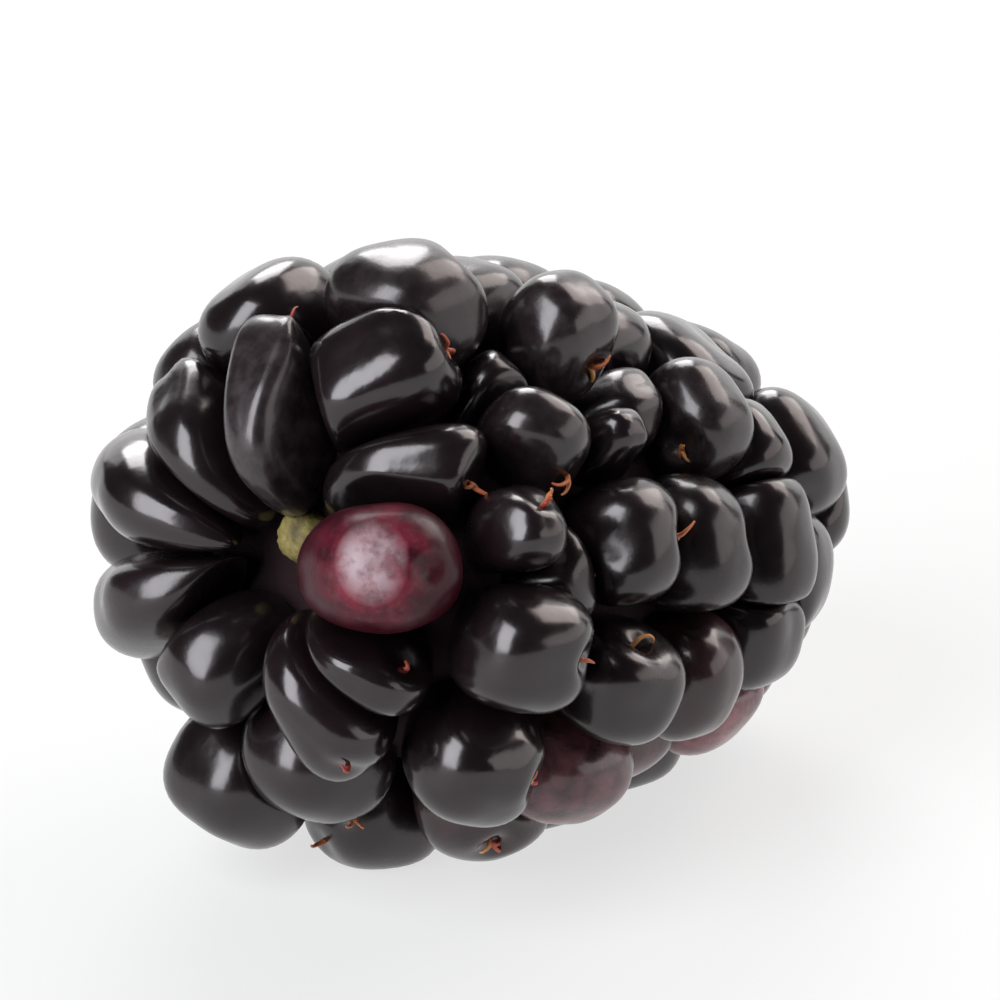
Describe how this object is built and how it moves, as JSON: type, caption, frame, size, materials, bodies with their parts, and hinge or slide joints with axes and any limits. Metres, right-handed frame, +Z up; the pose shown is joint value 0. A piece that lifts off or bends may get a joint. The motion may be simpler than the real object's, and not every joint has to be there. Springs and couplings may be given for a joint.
{
  "type": "bramble berry",
  "caption": "Ripe bramble berry lying on its side: glossy black drupelets fused round a core, one still red, with a green receptacle end in the stem hollow.",
  "frame": {"origin": "on the surface that the berry lies on, below the middle of its bounding box", "axes": "+Z up from the surface, +X from the stem end towards the tip, +Y across the berry"},
  "size_m": [0.0276, 0.0215, 0.0219],
  "materials": {
    "ripe_skin": "gloss",
    "red_skin": "gloss",
    "receptacle_flesh": "matte"
  },
  "bodies": {
    "root": {"drupelets": "ripe_skin", "red_drupelet": "red_skin", "receptacle": "receptacle_flesh"}
  },
  "joints": []
}
